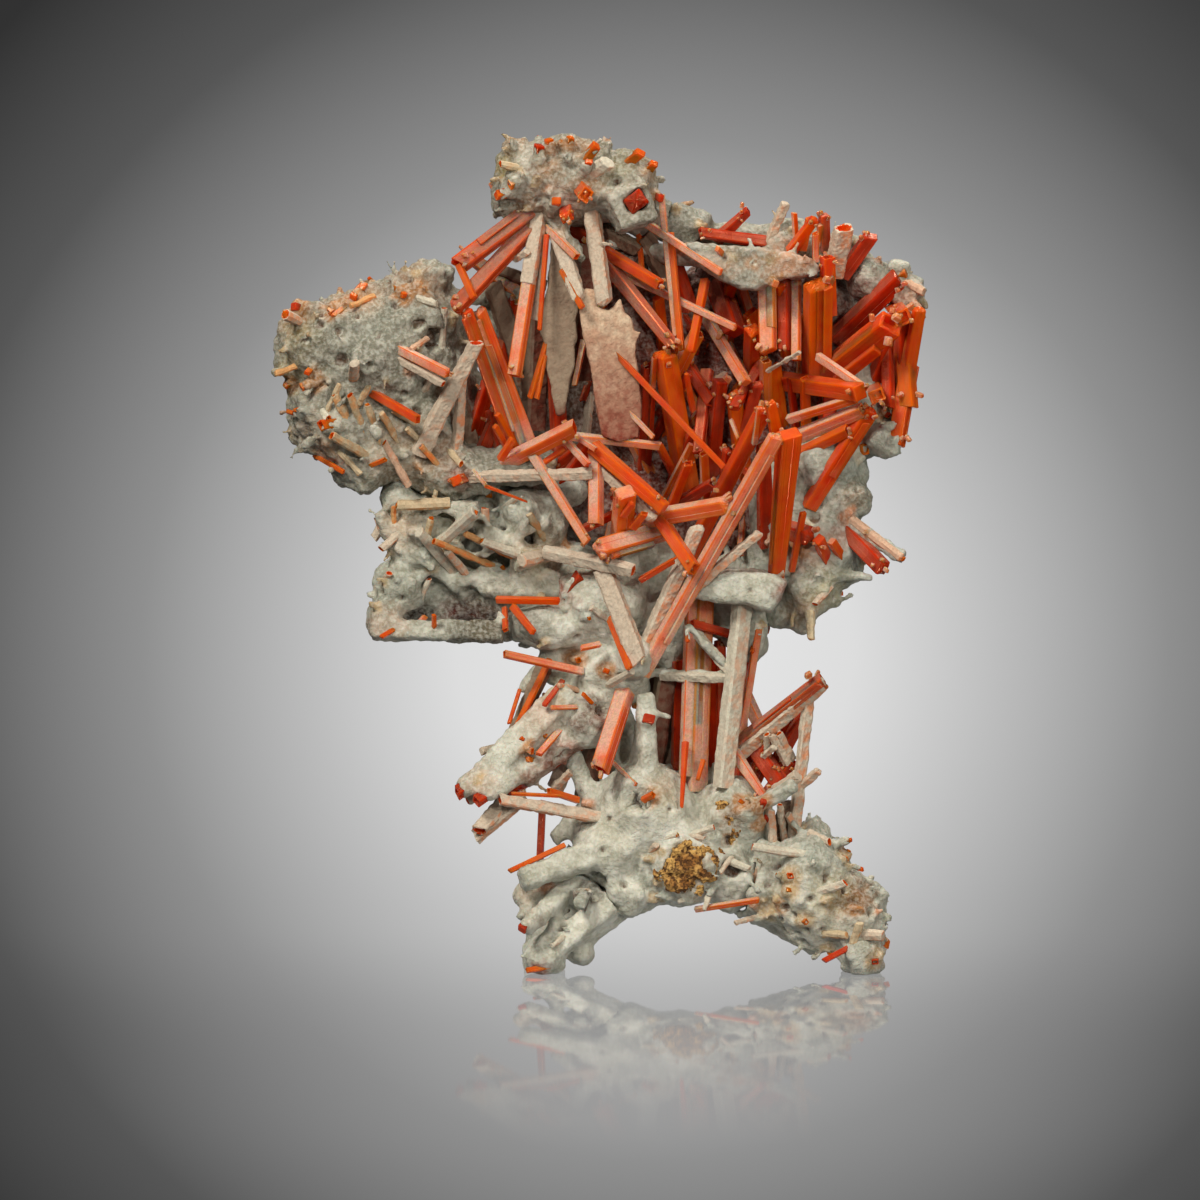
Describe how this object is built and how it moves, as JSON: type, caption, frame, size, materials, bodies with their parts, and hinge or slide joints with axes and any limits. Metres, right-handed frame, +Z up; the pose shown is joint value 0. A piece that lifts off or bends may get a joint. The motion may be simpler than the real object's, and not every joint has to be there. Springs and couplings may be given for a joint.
{
  "type": "crocoite specimen",
  "caption": "Mineral specimen: long four-sided orange crocoite crystals crossing on a pale gibbsite crust that stands on two feet.",
  "frame": {"origin": "on the resting surface, midway between the left and right ends and midway in depth", "axes": "+Z up, +X to the right and -Y to the front, as the specimen stands with the crystals facing the viewer"},
  "size_m": [0.1318, 0.0553, 0.1673],
  "materials": {
    "gibbsite_crust": "pale grey-green crust of gibbsite, matt and knobbly, with yellow stains",
    "limonite": "rusty brown earthy limonite",
    "coated_crocoite": "crocoite crystal under a thin white to lavender gibbsite coating, matt",
    "dusted_crocoite": "orange crystal with a fine pink dusting on its upper faces",
    "bare_crocoite": "bare translucent orange crystal with a bright lustre",
    "deep_crocoite": "deep red translucent crystal with a bright lustre"
  },
  "bodies": {
    "root": {"crust_base": "gibbsite_crust", "crust_left_foot": "gibbsite_crust", "crust_right_foot": "gibbsite_crust", "crust_waist": "gibbsite_crust", "crust_left_lattice": "gibbsite_crust", "crust_left_lobe": "gibbsite_crust", "crust_back_wall": "gibbsite_crust", "crust_right_lobe": "gibbsite_crust", "crust_ridge": "gibbsite_crust", "crust_top_knob": "gibbsite_crust", "pocket_filling": "limonite", "cluster_centre_blade": "coated_crocoite", "cluster_fan_pink": "dusted_crocoite", "cluster_hanging_blade": "coated_crocoite", "crystal_hanging_lavender": "coated_crocoite", "cluster_upper_orange": "bare_crocoite", "cluster_middle_cross": "dusted_crocoite", "crystal_middle_glint": "dusted_crocoite", "crystal_middle_deep": "deep_crocoite", "cluster_brown_cross": "bare_crocoite", "cluster_block_red": "bare_crocoite", "crystal_beam_narrow": "dusted_crocoite", "cluster_right_big": "bare_crocoite", "crystal_crest_orange": "bare_crocoite", "crystal_crest_tan": "coated_crocoite", "cluster_crest_coated": "coated_crocoite", "cluster_crest_lying": "deep_crocoite", "cluster_tower": "bare_crocoite", "cluster_tower_right": "deep_crocoite", "cluster_pillar": "bare_crocoite", "cluster_fan_white": "coated_crocoite", "cluster_trunk_lavender": "coated_crocoite", "cluster_longest_twin": "bare_crocoite", "crystal_right_deep": "deep_crocoite", "cluster_right_long": "bare_crocoite", "crystal_pillar_deep": "deep_crocoite", "crystal_low_end": "deep_crocoite", "crystal_low_v": "bare_crocoite", "crystal_low_cluster": "deep_crocoite", "crystal_column_white": "coated_crocoite", "crystal_column_thin": "dusted_crocoite", "crystal_column_striped": "dusted_crocoite", "cluster_branch": "coated_crocoite", "crystal_trunk_ring": "dusted_crocoite", "crystal_band_long": "bare_crocoite", "cluster_low_left_rod": "coated_crocoite", "crystal_low_left_stub": "coated_crocoite", "crystal_lobe_pink": "dusted_crocoite", "crystal_back_upper": "dusted_crocoite", "crystal_back_right": "bare_crocoite", "crystal_back_middle": "dusted_crocoite", "crystal_back_left": "dusted_crocoite", "crystal_knob_core": "deep_crocoite", "crystal_band_end": "deep_crocoite", "crystal_band_end_low": "deep_crocoite"}
  },
  "joints": []
}
